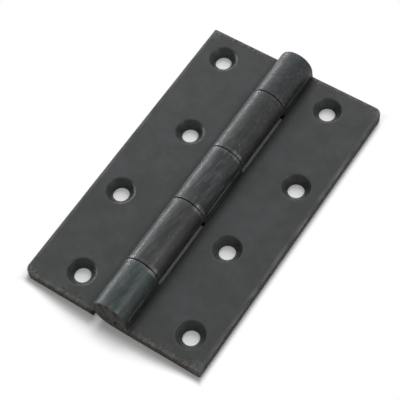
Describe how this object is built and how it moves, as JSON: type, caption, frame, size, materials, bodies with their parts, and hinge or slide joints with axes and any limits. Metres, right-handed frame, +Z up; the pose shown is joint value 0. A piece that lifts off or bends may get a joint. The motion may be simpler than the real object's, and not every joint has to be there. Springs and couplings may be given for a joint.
{
  "type": "butt hinge",
  "caption": "Steel butt hinge lying open: two rolled leaves with interleaved knuckles on a fixed pin ground flush, and staggered countersunk screw holes.",
  "frame": {"origin": "on the plane of the leaves' backs, under the pin's axis, at the middle of its length", "axes": "+Y along the pin, +Z up out of the leaves' faces, +X towards the leaf that holds the pin"},
  "size_m": [0.06, 0.1, 0.0111],
  "materials": {
    "blackened_steel": "blackened and waxed, satin, lightly rubbed on the edges",
    "pin_steel": "ground ends, dark and brownish, lightly scratched"
  },
  "bodies": {
    "right_half": {"right_leaf": "blackened_steel", "hinge_pin": "pin_steel"},
    "left_half": {"left_leaf": "blackened_steel"}
  },
  "joints": [
    {"name": "leaf_fold", "type": "hinge", "parent": "right_half", "child": "left_half", "pos_m": [0, 0, 0.00555], "axis": [0, 1, 0], "range_deg": [-91, 188]}
  ]
}
